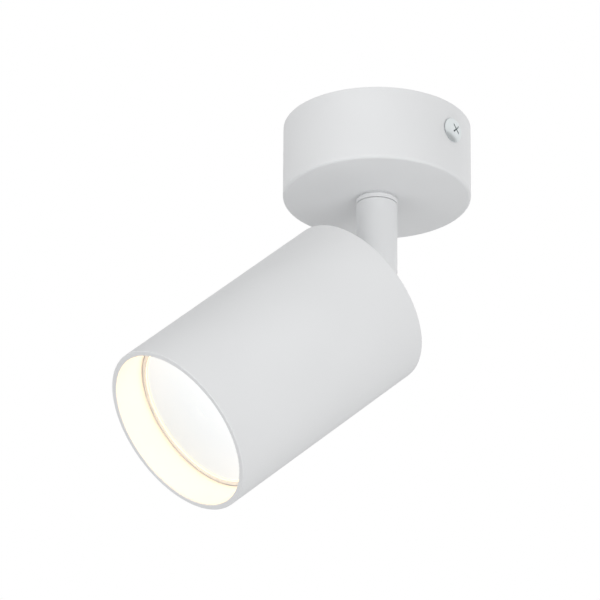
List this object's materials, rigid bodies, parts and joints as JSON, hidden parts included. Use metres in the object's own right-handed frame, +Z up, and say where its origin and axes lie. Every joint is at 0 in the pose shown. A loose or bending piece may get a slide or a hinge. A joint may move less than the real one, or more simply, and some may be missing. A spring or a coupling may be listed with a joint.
{
  "type": "surface mounted ceiling spotlight",
  "caption": "White cylinder ceiling spotlight on a short swivelling stem under a round canopy; the head tilts and takes a replaceable twist-lock lamp.",
  "frame": {"origin": "centre of the ceiling fixing pattern, on the ceiling plane", "axes": "+Z up into the ceiling; the fixing slots lie along Y; the head leans towards -X"},
  "size_m": [0.1157, 0.06, 0.1377],
  "materials": {
    "canopy_paint": "matt white powder coat",
    "collar_paint": "satin white powder coat",
    "stem_paint": "matt white powder coat",
    "head_paint": "matt white powder coat",
    "tongue_paint": "matt white powder coat",
    "nickel_plate": "bright nickel plate",
    "zinc_plate": "clear zinc plate",
    "spring_steel": "bare spring steel",
    "ring_steel": "satin white paint on spring steel",
    "slide_nylon": "natural nylon",
    "block_nylon": "moulded nylon",
    "clamp_brass": "turned brass",
    "tinned_copper": "tinned copper",
    "live_silicone": "silicone insulation, brown",
    "neutral_silicone": "silicone insulation, blue",
    "earth_silicone": "silicone insulation, green and yellow",
    "sleeve_glass_fibre": "woven glass-fibre sleeve",
    "socket_ceramic": "fired steatite",
    "lamp_plastic": "moulded white plastic",
    "lamp_pin_nickel": "nickel plate",
    "lens_frosted": "frosted diffuser",
    "board_white": "white solder mask",
    "led_phosphor": "phosphor window"
  },
  "bodies": {
    "ceiling_base": {"mounting_plate": "zinc_plate", "canopy_cover": "canopy_paint", "canopy_screws": "nickel_plate", "swivel_collar": "collar_paint", "terminal_housing": "block_nylon", "terminal_clamps": "clamp_brass", "terminal_screws": "zinc_plate", "terminal_fixing_screw": "zinc_plate", "earth_screw": "zinc_plate", "earth_washer": "zinc_plate", "earth_lug": "tinned_copper", "canopy_live_lead": "live_silicone", "canopy_neutral_lead": "neutral_silicone", "canopy_earth_lead": "earth_silicone"},
    "stem": {"stem_tube": "stem_paint", "swivel_nipple": "zinc_plate", "slide_washer": "slide_nylon", "stop_washer": "zinc_plate", "spring_washer": "spring_steel", "lock_nut": "zinc_plate", "lead_sleeve": "sleeve_glass_fibre"},
    "head": {"head_tube": "head_paint", "rear_cap": "head_paint", "hinge_tongue": "tongue_paint", "pivot_screws": "nickel_plate", "friction_washers": "slide_nylon", "tongue_washer": "zinc_plate", "tongue_nut": "zinc_plate", "socket_bracket": "zinc_plate", "bracket_screws": "zinc_plate", "lamp_socket": "socket_ceramic", "socket_screws": "zinc_plate", "socket_contacts": "clamp_brass", "head_earth_lug": "tinned_copper", "head_live_lead": "live_silicone", "head_neutral_lead": "neutral_silicone", "head_earth_lead": "earth_silicone"},
    "lamp": {"lamp_housing": "lamp_plastic", "lamp_base": "lamp_plastic", "lamp_pins": "lamp_pin_nickel", "lamp_led_board": "board_white", "lamp_leds": "led_phosphor", "lamp_lens": "lens_frosted"},
    "retaining_ring": {"lamp_retaining_ring": "ring_steel"}
  },
  "joints": [
    {"name": "stem_swivel", "type": "hinge", "parent": "ceiling_base", "child": "stem", "pos_m": [0, 0, -0.0262], "axis": [0, 0, 1], "range_deg": [-170, 170]},
    {"name": "head_tilt", "type": "hinge", "parent": "stem", "child": "head", "pos_m": [0, 0, -0.0562], "axis": [0, 1, 0], "range_deg": [-47.7, 42.3], "deforming": ["lead_sleeve"]},
    {"name": "lamp_twist", "type": "hinge", "parent": "head", "child": "lamp", "pos_m": [-0.05876, 0, -0.10967], "axis": [-0.7396, 0, -0.673], "range_deg": [0, 30]},
    {"name": "ring_pull", "type": "slide", "parent": "head", "child": "retaining_ring", "axis": [-0.7396, 0, -0.673], "range_m": [0, 0.016]}
  ]
}
